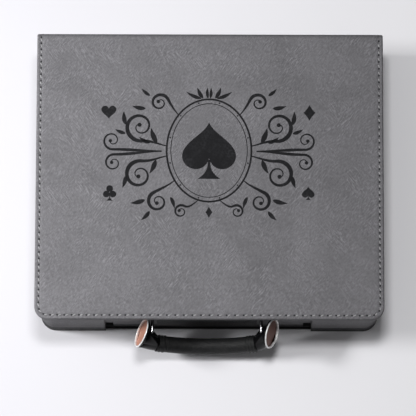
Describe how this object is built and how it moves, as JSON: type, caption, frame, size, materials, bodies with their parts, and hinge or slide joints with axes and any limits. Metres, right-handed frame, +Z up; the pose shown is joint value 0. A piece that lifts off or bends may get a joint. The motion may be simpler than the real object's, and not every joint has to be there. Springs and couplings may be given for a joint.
{
  "type": "poker set",
  "caption": "Poker set in a flat leatherette carrying case with a hinged overhanging lid and a swinging front handle, holding rows of chips, decks of cards and dice.",
  "frame": {"origin": "on the table, in the middle of the lid's plan, on the plane of the base's underside", "axes": "+X along the handle side to the right, -Y towards the handle side, +Z up through the lid"},
  "size_m": [0.242, 0.2203, 0.057],
  "materials": {
    "grey_leatherette": "matt grained leatherette",
    "black_leatherette": "black leatherette",
    "greyboard": "raw board",
    "fibreboard": "raw fibreboard",
    "black_felt": "felt",
    "insert_foam": "felted foam",
    "magnet": "plated",
    "bright_chrome": "polished chrome",
    "plain_steel": "zinc plated",
    "bronze_mirror": "dark bronze mirror finish",
    "gloss_black": "glossy black",
    "grip_leather": "soft black leather",
    "grip_foam": "dense core",
    "chip_white": "satin composite",
    "chip_red": "satin composite",
    "chip_blue": "satin composite",
    "chip_black": "satin composite",
    "carton_red": "printed carton",
    "carton_blue": "printed carton",
    "card_stock": "coated card",
    "dice_white": "polished"
  },
  "bodies": {
    "case": {"base_cover": "black_leatherette", "base_board": "greyboard", "spine_cover": "grey_leatherette", "spine_board": "greyboard", "wall_core": "fibreboard", "wall_cover": "grey_leatherette", "foot_band": "black_leatherette", "wall_magnets": "magnet", "handle_plate": "black_leatherette", "post_left": "bright_chrome", "post_right": "bright_chrome", "post_nuts": "plain_steel", "insert_tray": "insert_foam", "chips_white": "chip_white", "chips_red": "chip_red", "chips_blue": "chip_blue", "chips_black": "chip_black", "deck_box_red": "carton_red", "deck_box_blue": "carton_blue", "deck_cards_red": "card_stock", "deck_cards_blue": "card_stock", "dice": "dice_white"},
    "lid": {"lid_cover": "grey_leatherette", "lid_board": "greyboard", "lid_lining": "black_felt", "lid_magnets": "magnet"},
    "handle": {"grip_core": "grip_foam", "grip_wrap": "grip_leather", "grip_collars": "grip_leather", "neck_left": "gloss_black", "neck_right": "gloss_black", "end_rim_left": "bright_chrome", "end_rim_right": "bright_chrome", "end_disc_left": "bronze_mirror", "end_disc_right": "bronze_mirror"}
  },
  "joints": [
    {"name": "lid_hinge", "type": "hinge", "parent": "case", "child": "lid", "pos_m": [0, 0.1015, 0.0529], "axis": [-1, 0, 0], "range_deg": [0, 180]},
    {"name": "handle_swing", "type": "hinge", "parent": "case", "child": "handle", "pos_m": [-0.00175, -0.10792, 0.038], "axis": [-1, 0, 0], "range_deg": [-20, 145]}
  ]
}
